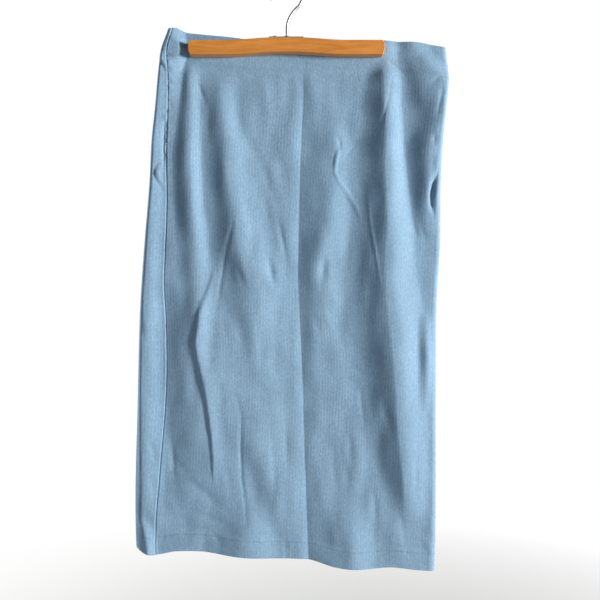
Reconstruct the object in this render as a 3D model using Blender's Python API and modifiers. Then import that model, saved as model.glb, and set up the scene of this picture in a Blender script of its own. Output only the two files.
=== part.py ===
"""Light blue ribbed knit midi skirt, held at its waist by a wooden clamp hanger.

Run with: blender --background --python part.py
The hook's inner top is the origin, the front faces -Y, and +Z is up. Sizes below are in millimetres.
"""
import math

import bmesh
import bpy
import numpy as np

MM = 0.001

# Cloth
CLOTH = 1.2               # wall of the knit, measured in the groove between two ribs
RIB = 0.6                 # height of a rib over that groove
FRONT_RIBS = 96           # ribs from the left side seam to the right one
BACK_RIBS = 104           # the back panel also wraps round the left fold onto the front
SEAM_GAP = 0.3            # between the two panels at a side seam
CLAMPED_GAP = 0.3         # between the two layers of cloth inside the hanger's jaws
FOLD_TAPER = 45           # towards a side fold the tube grows flatter over this width
FOLD_DEPTH = 0.85         # share of its depth that it keeps at the fold
FOLD_ROUND = 1.2          # length of the round fold itself, as a share of that depth
RIGHT_TURN = 7            # columns of points that lie round the right fold, on either panel
LEFT_TURN = 26            # columns of the back panel that lie round the left fold
INNER_STEP = 4            # elsewhere the plain inner face keeps one column in this many
LOOP_POINTS = 900         # points on each half of a section before it is divided into ribs

# Waist edge and hem edge seen from the front, as the distance below the hook's inner top
WAIST_EDGE = (
    # x, drop
    (-158, 65), (-147, 64), (-137, 67.5), (-115, 70.5), (-73, 74.5), (-55, 77), (0, 82), (60, 80),
    (130, 78.5), (162, 81), (184, 82.5), (194, 85), (212, 88),
)
HEM_EDGE = (
    # x, drop
    (-201, 756), (-190, 762), (-179, 765), (-147, 761), (-115, 761), (-73, 766), (-14, 770), (34, 773),
    (66, 781), (109, 784), (141, 782.5), (173, 786), (194, 788),
)

# Outline of the tube, and how far apart its two layers hang
SIDES = (
    # drop, left x, right x, inner depth
    (65, -158, 211, 5), (93, -167, 212, 5), (126, -172, 215, 5.5), (160, -175.5, 213, 6),
    (213, -181, 207, 7), (266, -183.5, 203.5, 8), (346, -190, 203, 9), (426, -195.5, 199.5, 10),
    (560, -199.5, 198, 11), (746, -202, 197, 12.5), (790, -200, 196, 13),
)

# Where the left side seam runs on the front, because the back panel wraps round the left fold
LEFT_SEAM = (
    # drop, x
    (65, -152), (93, -159), (126, -158), (160, -158.5), (226, -160.5), (293, -160), (346, -161.5),
    (400, -163.5), (453, -161), (533, -160), (600, -164.5), (660, -169.5), (733, -174.5), (765, -174),
)
RIGHT_SEAM_PAST_FOLD = 3  # the right side seam lies just behind the right fold
SIDES_NEAR = (-190, 200)  # about where the sides lie, to find how far down a ring meets them

# Place and wall of each ring of points down the skirt; the casing and the hem are double cloth
RINGS = (
    # share of the length, layers of cloth
    (0, 2.1), (0.052, 2.1), (0.068, 1), (0.105, 1), (0.155, 1), (0.22, 1), (0.3, 1), (0.39, 1),
    (0.49, 1), (0.6, 1), (0.71, 1), (0.83, 1), (0.945, 1), (0.968, 2), (1, 2),
)

# How far both layers swing forward beside the jaws
SWING = (
    # drop, left, right
    (60, 6.5, -5), (100, 6.5, -5), (118, 5, -2.5), (140, 2, 0), (170, 0, 0),
)
SWING_LEFT = (133, 154)   # distances from the middle between which they swing out at the left
SWING_RIGHT = (132, 152)  # and at the right

# Ridges that stand out from the front layer: how crisp the left and right flanks are (1 is a plain
# bell, less is steep at the crest and more is steep at the foot), then the rows
FRONT_RIDGES = {
    "left_of_jaws": ((0.9, 0.9), (
        # drop, crest x, height, left width, right width
        (60, -156, 1, 12, 20), (93, -157, 1.5, 12, 20), (120, -158.5, 2.5, 10, 26), (160, -158, 2.5, 12, 20),
        (195, -157, 1, 12, 16), (226, -157, 0, 12, 16),
    )),
    "left_edge": ((1, 1), (
        (150, -178, 0, 8, 18), (193, -180, 1.5, 8, 20), (226, -181, 2.5, 8, 22), (293, -184, 3.5, 8, 24),
        (360, -187, 4, 8, 26), (426, -190, 4.5, 8, 28), (500, -191, 5, 8, 30), (600, -191, 5, 8, 30),
        (666, -190, 3.5, 10, 28), (706, -188, 1.5, 12, 26), (740, -186, 0, 12, 24),
    )),
    "left": ((1, 1), (
        (104, -124, 0, 10, 12), (122, -128, 2, 12, 13), (142, -129, 3.5, 14, 15), (160, -129, 4.2, 16, 16),
        (193, -129, 5.5, 20, 16), (226, -129, 6.2, 25, 17), (260, -128.7, 6.2, 25, 18),
        (293, -127.3, 6.2, 25, 18), (326, -124, 6, 26, 20), (360, -122.7, 5.5, 26, 21), (393, -122, 4.5, 25, 24),
        (426, -116.7, 3.5, 24, 22), (466, -113.3, 2, 20, 20), (500, -113, 0, 20, 20),
    )),
    "pinch": ((0.75, 0.75), (
        (385, -96, 0, 4, 14), (400, -99.5, 1, 5, 14), (426, -108.5, 1.6, 6, 15), (440, -113.3, 2.2, 7, 16),
        (466, -116.7, 3, 8.5, 17), (481, -119.3, 3.4, 9, 18), (493, -118, 3.3, 9, 18),
        (520, -112.7, 3.2, 8.5, 20), (546, -106.7, 3.1, 8.5, 22), (573, -102.7, 3, 8, 22),
        (600, -99.3, 2.8, 7, 20), (626, -97, 2.2, 6, 18), (653, -97, 1.2, 4, 16), (675, -97, 0, 4, 14),
    )),
    "left_low": ((1.6, 1), (
        (400, -114, 0, 48, 90), (440, -112, 5, 52, 100), (466, -112, 6, 54, 100), (506, -111, 6.5, 55, 105),
        (546, -106, 6.5, 58, 105), (586, -101, 6, 60, 105), (626, -98, 5, 62, 105), (666, -97, 3.5, 58, 100),
        (706, -97, 1, 52, 90), (730, -97, 0, 50, 90),
    )),
    "left_of_centre": ((0.85, 1), (
        (112, -92, 0, 16, 22), (133, -89, 2.5, 22, 24), (160, -86.7, 4.5, 26, 26), (193, -84.7, 6.5, 28, 26),
        (226, -82, 7.5, 31, 36), (260, -78, 7.5, 31, 42), (293, -74, 8, 33, 44), (326, -68.3, 9, 37, 46),
        (360, -62, 9.5, 40, 56), (393, -50.7, 9, 44, 60), (426, -48.4, 7.5, 40, 60), (466, -41.6, 5, 26, 56),
        (506, -38, 2, 20, 50), (546, -36, 0, 20, 50),
    )),
    "centre_left_low": ((1, 1), (
        (590, -30, 0, 20, 26), (626, -26, 2, 22, 28), (666, -18, 3.3, 24, 30), (706, -15, 2, 24, 28),
        (740, -14, 0, 24, 28),
    )),
    "centre_right": ((1, 1), (
        (150, 54, 0, 34, 26), (193, 58, 1.5, 36, 28), (226, 62, 3, 38, 26), (260, 60, 4.5, 40, 26),
        (293, 60, 5.5, 40, 26), (326, 55, 6, 36, 30), (360, 46, 5.5, 30, 36), (393, 40, 5, 26, 40),
        (426, 48, 3.5, 30, 36), (466, 40, 2.5, 24, 40), (506, 40, 1.5, 24, 40), (560, 42, 0, 24, 40),
    )),
    "right": ((0.75, 1.25), (
        (62, 134, 1.5, 6, 9), (93, 133, 2.5, 8, 14), (109, 130, 6, 14, 20), (133, 130, 9, 26, 24),
        (160, 130, 10, 34, 25), (193, 132.5, 10.5, 44, 25), (226, 131.5, 11.5, 50, 27), (260, 131, 12, 52, 31),
        (293, 133, 12.5, 56, 33), (326, 135, 13, 60, 36), (360, 132, 13, 60, 42), (393, 131, 13, 62, 46),
        (426, 132.5, 13, 64, 52), (466, 139, 13, 65, 50), (506, 142.5, 12.5, 65, 47), (546, 148, 12, 62, 45),
        (586, 150, 11, 55, 45), (626, 153.5, 10, 48, 43), (666, 155.5, 7.5, 38, 41), (706, 157, 2.5, 28, 36),
        (735, 158, 0, 28, 36),
    )),
    "right_fold": ((0.85, 1), (
        (60, 172, 2, 20, 22), (93, 176, 3, 22, 24), (109, 180, 4, 25, 24), (133, 200, 5.5, 44, 14),
        (160, 203, 7.5, 48, 12), (193, 196, 8, 38, 16), (226, 190.5, 8, 30, 18), (260, 189.5, 7.5, 27, 16),
        (293, 188, 5.5, 20, 14), (313, 188, 3, 18, 12), (335, 190, 0, 18, 12),
    )),
    "right_edge": ((0.9, 0.9), (
        (440, 186, 0, 12, 12), (466, 186, 4, 14, 12), (506, 186.5, 6, 14, 12), (546, 186, 4, 14, 12),
        (580, 185, 0, 12, 12),
    )),
    "right_low": ((1, 1), (
        (600, 88, 0, 10, 22), (626, 88, 1.2, 10, 22), (666, 91, 2, 12, 26), (700, 92, 0, 12, 26),
    )),
    "hem_corner": ((0.8, 0.8), (
        (690, -199, 0, 10, 10), (706, -197, 1, 10, 10), (740, -186, 4, 16, 14), (768, -183, 5, 18, 14),
    )),
    "hem_left": ((1, 1), (
        (690, -50, 0, 40, 20), (715, -50, 2, 50, 22), (740, -49, 5, 62, 24), (770, -48, 5.5, 62, 24),
    )),
    "hem_right": ((1, 1), (
        (690, 80, 0, 40, 24), (706, 82, 2, 48, 28), (740, 85, 4.5, 56, 30), (770, 86, 5, 56, 30),
    )),
}

# Ridges that stand out from the back layer, which the photograph hides
BACK_RIDGES = {
    "left": ((0.9, 0.9), (
        (110, -126, 0, 20, 24), (150, -124, 5, 24, 26), (260, -121, 8, 34, 34), (400, -116, 8, 38, 40),
        (560, -110, 6, 38, 40), (700, -106, 2, 36, 40), (760, -105, 0, 36, 40),
    )),
    "centre": ((0.9, 0.9), (
        (115, 20, 0, 22, 24), (170, 24, 4, 26, 28), (320, 30, 6, 36, 36), (480, 34, 5, 40, 38),
        (640, 38, 2, 40, 38), (720, 40, 0, 40, 38),
    )),
    "right": ((0.9, 0.9), (
        (62, 142, 1.5, 18, 22), (110, 141, 4, 20, 24), (150, 139, 8, 28, 28), (290, 136, 10, 38, 36),
        (450, 140, 8, 42, 38), (600, 147, 5, 40, 38), (700, 152, 0, 36, 34),
    )),
}

# The crease left down the middle of both layers by storing the skirt folded in two
CENTRE_CREASE = (
    # drop, x, depth, left width, right width
    (90, 23, 1, 13, 18), (160, 22.5, 1.5, 13, 19), (193, 21.3, 1.7, 13, 20), (246, 19.3, 1.8, 13, 20),
    (346, 17.3, 1.8, 13, 20), (386, 16.7, 1.8, 13, 20), (457, 19.3, 1.7, 13, 20), (523, 21.7, 1.7, 13, 20),
    (636, 24.7, 1.6, 13, 19), (702, 27, 1.5, 12, 18), (790, 29.5, 1.3, 12, 17),
)

# Hanger
JAW_LENGTH = 260
JAW_HEIGHT = 19
JAW_THICKNESS = 14
JAW_TOP = -83.2           # top of a jaw's ends
JAW_RISE = 3.5            # how far the middle of a jaw arches above its ends
JAW_RISE_START = 12       # half length of the raised middle
JAW_RISE_END = 80         # where the arch has come down to the straight ends
JAW_END_BULGE = 3.5       # how far a jaw's ends round out
JAW_BEVEL = 1
SHARP_ANGLE = 40          # edges at least this sharp, in degrees, are bevelled
JAW_CLEARANCE = 0.3       # between a jaw and the cloth
PINCH_MARGIN = 3          # the cloth is still pinched this far beside a jaw
PINCH_SIDE = (12, 30)     # and opens over these lengths at the left and the right
PINCH_BELOW = 0.052       # share of the length where it starts to open below the jaws
PINCH_LENGTH = 0.068      # share over which it opens there
PINCH_ENDS = (85, 130, 0.55)  # between these distances from the middle that share shrinks to this part

PLATE_LENGTH = 46
PLATE_THICKNESS = 1.6
PLATE_MARGIN = 2          # between the plate's edge and a jaw's face
PLATE_BEVEL = 0.4
SEAT = 0.02               # between metal pieces that stand on each other
SCREW_RADIUS = 3.2
SCREW_HEAD = 1.8
SCREW_BEVEL = 0.7
SCREW_OFFSET = 15         # from the middle of the plate
WIRE_RADIUS = 1.9
HOOK_RADIUS = 21          # of the wire's centre line
HOOK_TIP_ANGLE = 192      # where the hook's open end stops, counted from +X over the top
HOOK_NECK_ANGLE = -38     # where the round part turns back towards the stem
COLLAR_RADIUS = 4.5
COLLAR_HEIGHT = 5
COLLAR_BEVEL = 0.8
ROUND_POINTS = 20         # points round a screw head and the collar

# Colour, roughness and metallic value of each material
MATERIALS = {
    "knit": ((0.225, 0.355, 0.475), 0.9, 0.0),
    "wood": ((0.56, 0.235, 0.075), 0.45, 0.0),
    "steel": ((0.62, 0.62, 0.62), 0.3, 1.0),
}


def read(table, at, column):
    """Smooth value of a table's column, where the first column is `at`; held level past both ends."""
    keys = np.array([row[0] for row in table], dtype=float)
    values = np.array([row[column] for row in table], dtype=float)
    slopes = np.gradient(values, keys)
    at = np.clip(at, keys[0], keys[-1])
    left = np.clip(np.searchsorted(keys, at, side="right") - 1, 0, len(keys) - 2)
    step = keys[left + 1] - keys[left]
    t = (at - keys[left]) / step
    rise = values[left + 1] - values[left]
    bend = t * (1 - t) * ((1 - t) * (slopes[left] * step - rise) - t * (slopes[left + 1] * step - rise))
    return values[left] + t * rise + bend


def smooth_step(value, start, end):
    """0 before start, 1 after end, and a smooth rise between them."""
    t = np.clip((value - start) / (end - start), 0, 1)
    return t * t * (3 - 2 * t)


def ridge(crispness, table, x, drop):
    """Height of one ridge at each point."""
    offset = x - read(table, drop, 1)
    height = np.maximum(read(table, drop, 2), 0)
    width = np.where(offset < 0, read(table, drop, 3), read(table, drop, 4))
    share = np.clip(np.abs(offset) / width, 0, 1) ** np.where(offset < 0, *crispness)
    return height * (0.5 + 0.5 * np.cos(math.pi * share))


def crease(table, x, drop):
    """Depth of a sharp crease at each point."""
    offset = x - read(table, drop, 1)
    width = np.where(offset < 0, read(table, drop, 3), read(table, drop, 4))
    share = np.clip(np.abs(offset) / width, 0, 1)
    return read(table, drop, 2) * (1 - share) ** 2


def jaw_arch(x):
    """How far a jaw's middle stands above its ends."""
    return JAW_RISE * (1 - smooth_step(np.abs(x), JAW_RISE_START, JAW_RISE_END))


def freedom(x, share):
    """0 where the jaws clamp the cloth, 1 where it hangs free."""
    clamped = JAW_LENGTH / 2 + PINCH_MARGIN
    beside = smooth_step(np.abs(x), clamped, clamped + np.where(x < 0, *PINCH_SIDE))
    start, end, shortest = PINCH_ENDS
    length = PINCH_LENGTH * (1 - (1 - shortest) * smooth_step(np.abs(x), start, end))
    below = smooth_step((share - PINCH_BELOW) / length, 0, 1)
    return np.maximum(beside, below)


def layer_depth(x, drop, share, ridges):
    """How far one layer of knit lies from the middle of the skirt, away from the side folds."""
    raised = sum(ridge(crispness, table, x, drop) for crispness, table in ridges.values())
    hollow = read(SIDES, drop, 3) / 2 + raised - crease(CENTRE_CREASE, x, drop)
    return CLAMPED_GAP / 2 + turned_in(share) + freedom(x, share) * hollow


def turned_in(share):
    """Thickness of the cloth that is turned in and stitched behind the outer layer."""
    return CLOTH * (read(RINGS, share, 1) - 1)


def swing(x, drop):
    """How far both layers swing forward at each point, beside the jaws."""
    left = read(SWING, drop, 1) * smooth_step(-x, *SWING_LEFT)
    right = read(SWING, drop, 2) * smooth_step(x, *SWING_RIGHT)
    return left + right


def fold_shape(room, depth):
    """Share of its depth that the tube keeps this far in from a side fold."""
    taper = FOLD_DEPTH + (1 - FOLD_DEPTH) * smooth_step(room, 0, FOLD_TAPER)
    reach = FOLD_ROUND * FOLD_DEPTH * depth
    return taper * np.sqrt(1 - np.clip(1 - room / reach, 0, 1) ** 2)


def section(share):
    """The tube's inner loop at one share of its length, as arrays of x, y and z.

    It runs along the front from the left fold to the right one, and back along the back.
    """
    def row_drop(x):
        return (1 - share) * read(WAIST_EDGE, x, 1) + share * read(HEM_EDGE, x, 1)

    left = read(SIDES, row_drop(SIDES_NEAR[0]), 1) + CLOTH + RIB
    right = read(SIDES, row_drop(SIDES_NEAR[1]), 2) - CLOTH - RIB
    across = np.sin(np.linspace(-math.pi / 2, math.pi / 2, LOOP_POINTS))
    x = (left + right) / 2 + across * (right - left) / 2
    drop = row_drop(x)
    room = np.minimum(x - left, right - x)
    depth = turned_in(share) + read(SIDES, drop, 3) / 2
    flatness = fold_shape(room, depth)
    forward = swing(x, drop)
    front = -flatness * layer_depth(x, drop, share, FRONT_RIDGES) - forward
    back = flatness * layer_depth(x, drop, share, BACK_RIDGES) - forward
    return (
        np.concatenate((x, x[-2::-1])),
        np.concatenate((front, back[-2::-1])),
        -np.concatenate((drop, drop[-2::-1])),
    )


def panel_row(share, panel, ribs):
    """One panel's points at one share of its length: its inner face, and the direction out of the cloth."""
    x, y, z = section(share)
    reach = np.concatenate(((0.0,), np.cumsum(np.hypot(np.diff(x), np.diff(y)))))
    girth = reach[-1]
    front_x = x[:LOOP_POINTS]
    front_reach = reach[:LOOP_POINTS]
    seam_drop = -np.interp(LEFT_SEAM[0][1], front_x, z[:LOOP_POINTS])
    seam_x = read(LEFT_SEAM, seam_drop, 1)
    left_seam = float(np.interp(seam_x, front_x, front_reach))
    right_seam = front_reach[-1] + RIGHT_SEAM_PAST_FOLD
    if panel == "front":
        ends = (left_seam + SEAM_GAP / 2, right_seam - SEAM_GAP / 2)
    else:
        ends = (right_seam + SEAM_GAP / 2, girth + left_seam - SEAM_GAP / 2)
    places = np.linspace(ends[0], ends[1], 2 * ribs + 1)
    loop = np.concatenate((reach, reach[1:] + girth))

    def around(values, at):
        return np.interp(at, loop, np.concatenate((values, values[1:])))

    ahead_x = around(x, places + 1) - around(x, places - 1)
    ahead_y = around(y, places + 1) - around(y, places - 1)
    length = np.hypot(ahead_x, ahead_y)
    inner = np.column_stack((around(x, places), around(y, places), around(z, places)))
    outward = np.column_stack((ahead_y / length, -ahead_x / length, np.zeros(len(places))))
    return inner, outward


def inner_columns(panel, columns):
    """Columns that the plain inner face keeps: a few, and all of them round the side folds."""
    if panel == "front":
        turns = range(columns - RIGHT_TURN, columns)
    else:
        turns = (*range(RIGHT_TURN), *range(columns - LEFT_TURN, columns))
    return [k for k in range(columns) if k % INNER_STEP == 0 or k in turns]


def cloth_panel(name, panel, ribs, material):
    """A wall of knit: ribs raised in its outer points over a plain inside, open at waist and hem."""
    mesh = bmesh.new()
    outer_rows, inner_rows = [], []
    columns = 2 * ribs + 1
    kept = inner_columns(panel, columns)
    for share, _ in RINGS:
        face, outward = panel_row(share, panel, ribs)
        wall = CLOTH + RIB * (np.arange(columns) % 2)
        outer = face + outward * wall[:, None]
        inner = face - outward * turned_in(share)
        outer_rows.append([mesh.verts.new(point * MM) for point in outer])
        inner_rows.append({k: mesh.verts.new(inner[k] * MM) for k in kept})
    for row in range(len(RINGS) - 1):
        for k in range(columns - 1):
            mesh.faces.new((outer_rows[row][k], outer_rows[row + 1][k],
                            outer_rows[row + 1][k + 1], outer_rows[row][k + 1]))
        for a, b in zip(kept, kept[1:]):
            mesh.faces.new((inner_rows[row][a], inner_rows[row][b],
                            inner_rows[row + 1][b], inner_rows[row + 1][a]))
        for k in (0, columns - 1):
            mesh.faces.new((outer_rows[row][k], inner_rows[row][k],
                            inner_rows[row + 1][k], outer_rows[row + 1][k]))
    for row in (0, len(RINGS) - 1):
        close_rim(mesh, outer_rows[row], inner_rows[row], kept)
    bmesh.ops.recalc_face_normals(mesh, faces=mesh.faces[:])
    data = bpy.data.meshes.new(name)
    mesh.to_mesh(data)
    mesh.free()
    return add_object(name, data, material)


def close_rim(mesh, outer, inner, kept):
    """Joins the ribbed outer edge to the plain inner edge along the waist or the hem."""
    for a, b in zip(kept, kept[1:]):
        middle = (a + b) // 2
        for k in range(a, b):
            mesh.faces.new((outer[k], outer[k + 1], inner[a if k < middle else b]))
        mesh.faces.new((outer[middle], inner[b], inner[a]))


def jaw_outline():
    """Front outline of a jaw, anticlockwise, with an arched middle and rounded ends."""
    straight = JAW_LENGTH / 2 - JAW_END_BULGE
    middle = np.linspace(-JAW_RISE_END, JAW_RISE_END, 11)
    along = np.concatenate(((-straight,), middle, (straight,)))
    bottom = [(x, JAW_TOP - JAW_HEIGHT + jaw_arch(x)) for x in along]
    top = [(x, JAW_TOP + jaw_arch(x)) for x in along[::-1]]
    steps = [math.radians(angle) for angle in (-60, -30, 0, 30, 60)]

    def end(side):
        centre = JAW_TOP - JAW_HEIGHT / 2
        return [(side * (straight + JAW_END_BULGE * math.cos(t)), centre + side * math.sin(t) * JAW_HEIGHT / 2)
                for t in steps]

    return bottom + end(1) + top + end(-1)


def jaw_middle():
    """Distance from the middle of the skirt to the middle of a jaw."""
    clamped = CLAMPED_GAP / 2 + CLOTH * RINGS[0][1] + RIB
    return clamped + JAW_CLEARANCE + JAW_THICKNESS / 2


def jaw(name, side, material):
    """One wooden jaw; side is -1 in front of the cloth and 1 behind it."""
    curve = bpy.data.curves.new(name, "CURVE")
    curve.dimensions = "2D"
    curve.fill_mode = "BOTH"
    curve.extrude = JAW_THICKNESS / 2 * MM
    points = jaw_outline()
    spline = curve.splines.new("POLY")
    spline.points.add(len(points) - 1)
    for point, (x, z) in zip(spline.points, points):
        point.co = (x * MM, z * MM, 0, 1)
    spline.use_cyclic_u = True
    piece = add_object(name, curve, material)
    piece.rotation_euler = (math.pi / 2, 0, 0)
    piece.location = (0, side * jaw_middle() * MM, 0)
    weld = piece.modifiers.new("Weld", "WELD")
    weld.merge_threshold = 0.00001
    bevel = piece.modifiers.new("Bevel", "BEVEL")
    bevel.width = JAW_BEVEL * MM
    bevel.segments = 2
    bevel.limit_method = "ANGLE"
    bevel.angle_limit = math.radians(SHARP_ANGLE)
    return piece


def clamp_plate(material):
    """The steel plate that joins the two jaws and carries the hook."""
    depth = 2 * jaw_middle() + JAW_THICKNESS - 2 * PLATE_MARGIN
    bpy.ops.mesh.primitive_cube_add(size=1)
    plate = bpy.context.object
    plate.name = "clamp_plate"
    plate.scale = (PLATE_LENGTH * MM, depth * MM, PLATE_THICKNESS * MM)
    plate.location = (0, 0, plate_top() * MM - PLATE_THICKNESS * MM / 2)
    bpy.ops.object.transform_apply(location=False, rotation=False, scale=True)
    bevel = plate.modifiers.new("Bevel", "BEVEL")
    bevel.width = PLATE_BEVEL * MM
    bevel.segments = 1
    return finish(plate, material)


def plate_top():
    """Height of the plate's top face, which lies on the arched middle of the jaws."""
    return JAW_TOP + JAW_RISE + SEAT + PLATE_THICKNESS


def turned_piece(name, x, y, radius, height, edge, material):
    """A short round piece that stands on the plate, such as a screw head or the hook's collar."""
    bpy.ops.mesh.primitive_cylinder_add(vertices=ROUND_POINTS, radius=radius * MM, depth=height * MM)
    piece = bpy.context.object
    piece.name = name
    piece.location = (x * MM, y * MM, (plate_top() + SEAT + height / 2) * MM)
    bevel = piece.modifiers.new("Bevel", "BEVEL")
    bevel.width = edge * MM
    bevel.segments = 1
    bevel.limit_method = "ANGLE"
    return finish(piece, material)


def hook_points():
    """Centre line of the hook's wire: round part, turn back to the middle, and straight stem."""
    centre = WIRE_RADIUS - HOOK_RADIUS
    angles = np.radians(np.linspace(HOOK_TIP_ANGLE, HOOK_NECK_ANGLE, 19))
    points = [(HOOK_RADIUS * math.cos(a), centre + HOOK_RADIUS * math.sin(a)) for a in angles]
    turn = math.radians(90 + HOOK_NECK_ANGLE)
    neck_x, neck_z = points[-1]
    radius = neck_x / (1 - math.cos(turn))
    for a in np.linspace(turn, 0, 7)[1:]:
        points.append((radius * (1 - math.cos(a)), neck_z - radius * (math.sin(turn) - math.sin(a))))
    points.append((0, plate_top() + COLLAR_HEIGHT + 2 * SEAT))
    return points


def hook(material):
    """The hanger's wire hook, which stands in its collar on the plate."""
    curve = bpy.data.curves.new("hook", "CURVE")
    curve.dimensions = "3D"
    curve.bevel_depth = WIRE_RADIUS * MM
    curve.bevel_resolution = 2
    curve.use_fill_caps = True
    spline = curve.splines.new("POLY")
    points = hook_points()
    spline.points.add(len(points) - 1)
    for point, (x, z) in zip(spline.points, points):
        point.co = (x * MM, 0, z * MM, 1)
    return add_object("hook", curve, material)


def add_object(name, data, material):
    """Puts new object data in the skirt's collection."""
    piece = bpy.data.objects.new(name, data)
    bpy.context.scene.collection.objects.link(piece)
    return finish(piece, material)


def finish(piece, material):
    """Gives an object its material and moves it to the skirt's collection."""
    piece.data.materials.append(material)
    for collection in list(piece.users_collection):
        collection.objects.unlink(piece)
    bpy.data.collections["ribbed_skirt"].objects.link(piece)
    return piece


def make_material(name, colour, roughness, metallic):
    material = bpy.data.materials.new(name)
    material.use_nodes = True
    shader = material.node_tree.nodes["Principled BSDF"]
    shader.inputs["Base Color"].default_value = (*colour, 1)
    shader.inputs["Roughness"].default_value = roughness
    shader.inputs["Metallic"].default_value = metallic
    material.diffuse_color = (*colour, 1)
    return material


def main():
    for old in list(bpy.data.objects):
        bpy.data.objects.remove(old)
    collection = bpy.data.collections.new("ribbed_skirt")
    bpy.context.scene.collection.children.link(collection)
    knit, wood, steel = (make_material(name, *values) for name, values in MATERIALS.items())
    cloth_panel("skirt_front", "front", FRONT_RIBS, knit)
    cloth_panel("skirt_back", "back", BACK_RIBS, knit)
    jaw("jaw_front", -1, wood)
    jaw("jaw_back", 1, wood)
    clamp_plate(steel)
    for name, side in (("screw_front", -1), ("screw_back", 1)):
        turned_piece(name, side * SCREW_OFFSET, side * jaw_middle(), SCREW_RADIUS, SCREW_HEAD,
                     SCREW_BEVEL, steel)
    turned_piece("collar", 0, 0, COLLAR_RADIUS, COLLAR_HEIGHT, COLLAR_BEVEL, steel)
    hook(steel)


main()
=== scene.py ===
import math

import bmesh
import bpy
import numpy as np
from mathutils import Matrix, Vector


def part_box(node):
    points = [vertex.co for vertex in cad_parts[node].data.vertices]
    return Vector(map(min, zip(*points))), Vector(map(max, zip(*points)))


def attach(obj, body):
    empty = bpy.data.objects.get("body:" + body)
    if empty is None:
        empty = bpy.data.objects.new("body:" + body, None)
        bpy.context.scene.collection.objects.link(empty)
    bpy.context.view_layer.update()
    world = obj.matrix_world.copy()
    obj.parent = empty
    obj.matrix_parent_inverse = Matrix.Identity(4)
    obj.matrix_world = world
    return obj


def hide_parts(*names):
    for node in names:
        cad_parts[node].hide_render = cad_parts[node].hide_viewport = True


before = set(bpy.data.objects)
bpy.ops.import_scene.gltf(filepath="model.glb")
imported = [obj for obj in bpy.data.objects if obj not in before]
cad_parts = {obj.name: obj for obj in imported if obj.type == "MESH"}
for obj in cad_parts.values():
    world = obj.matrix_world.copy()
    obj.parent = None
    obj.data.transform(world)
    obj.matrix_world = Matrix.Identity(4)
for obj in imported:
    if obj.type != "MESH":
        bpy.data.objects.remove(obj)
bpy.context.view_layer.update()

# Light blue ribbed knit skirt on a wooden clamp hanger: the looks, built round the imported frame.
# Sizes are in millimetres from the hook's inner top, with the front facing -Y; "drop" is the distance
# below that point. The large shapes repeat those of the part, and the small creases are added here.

MM = 0.001

# Cloth
CLOTH = 1.2               # wall of the knit, measured in the groove between two ribs
RIB = 0.11                # height of a rib over that groove
RIB_PROFILE = (0.0, 0.82, 1.0, 0.82)   # share of that height at each column across a rib
RIBS = {"front": 96, "back": 104}
FLAT_SIZES = {"front": (0.385, 0.702), "back": (0.415, 0.702)}   # metres of cloth that show, by panel
SEAM_GAP = 0.3
CLAMPED_GAP = 0.3         # between the two layers where the jaws clamp them
LEAST_HOLLOW = 0.3        # least depth of a layer where it hangs free
CASING_SHARE = 0.055      # where the waist casing is stitched, as a share of the length
HEM_SHARE = 0.968         # where the hem is stitched
CASING_WALLS = 1.1        # thickness of the cloth turned in at the waist, in walls of the knit
TURNED_SHARE = 0.008      # over this share the turned-in cloth fades out behind a stitch line
EDGE_MARGIN = 0.002       # the rounded edges take up the last of the length
FOLD_TAPER = 45           # each layer sinks towards a side fold over this width
FOLD_DEPTH = 0.85         # and keeps this share of its depth there
FOLD_ROUND = 1.2          # how wide the rounding of a side fold is, as a share of that depth
SEAM_ROLL = 1.5           # a panel's edge rolls in over this width at a side seam
SEAM_DIP = 0.35           # share of the wall that is left at the seam itself
NORMAL_REACH = 1.2        # the way out of the cloth is taken between points this far to each side

# Stitch lines
STITCH_LINES = (
    # name, share of the length, radius of the thread, how deep and how widely it draws the cloth in
    ("casing", CASING_SHARE, 0.16, 0.25, 0.003),
    ("hem", HEM_SHARE, 0.3, 0.6, 0.0025),
)
STITCH_LENGTH = 2.7
STITCH_GAP = 0.9
STITCH_MARGIN = 2         # left free of stitches at each side seam
STITCH_SUNK = 0.2         # how deep a stitch's ends lie in the knit
STITCH_RISE = 0.25        # how far its middle stands over them
STITCH_END = 0.45         # its radius at the ends, as a share of that in the middle
STITCH_STEPS = 5
STITCH_SIDES = 6

# Resolution
ROWS = 196
ROW_CROWDING = 1.25       # above 1 the rows lie closer near the waist, where the small creases are
STITCH_ROWS = (-0.005, -0.0025, 0, 0.0025, 0.005)   # extra rows about each stitch line
INNER_ROWS = 60
RIB_COLUMNS = 4
LOOP_POINTS = 2000
RIM_ANGLES = (30, 60, 90, 120, 150)
RIM_STEP = 1e-5           # share of the length that one degree of a rim counts for, to order its rows

# Waist edge and hem edge seen from the front
WAIST_EDGE = (
    # x, drop
    (-158, 65), (-147, 64), (-137, 67.5), (-115, 70.5), (-73, 74.5), (-55, 77), (0, 82), (60, 80),
    (130, 78.5), (162, 80), (184, 81.7), (194, 83.5), (212, 86.5),
)
HEM_EDGE = (
    # x, drop
    (-201, 756), (-190, 762), (-179, 765), (-147, 761), (-115, 761), (-73, 766), (-14, 770), (34, 773),
    (66, 781), (109, 784), (141, 782.5), (173, 786), (194, 788),
)

# Outline of the tube, and how far apart its two layers hang
SIDES = (
    # drop, left x, right x, inner depth
    (65, -158, 213.5, 5), (93, -167, 215, 5), (126, -172, 217.5, 5.5), (160, -175.5, 214.2, 6),
    (213, -181, 209, 7), (266, -183.5, 206.2, 8), (346, -190, 205.8, 9), (426, -195.5, 201.2, 10),
    (560, -199.5, 200, 11), (746, -202, 199.3, 12.5), (790, -200, 198, 13),
)
SIDES_NEAR = (-190, 200)  # a row's drop at each side is taken at these x

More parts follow.
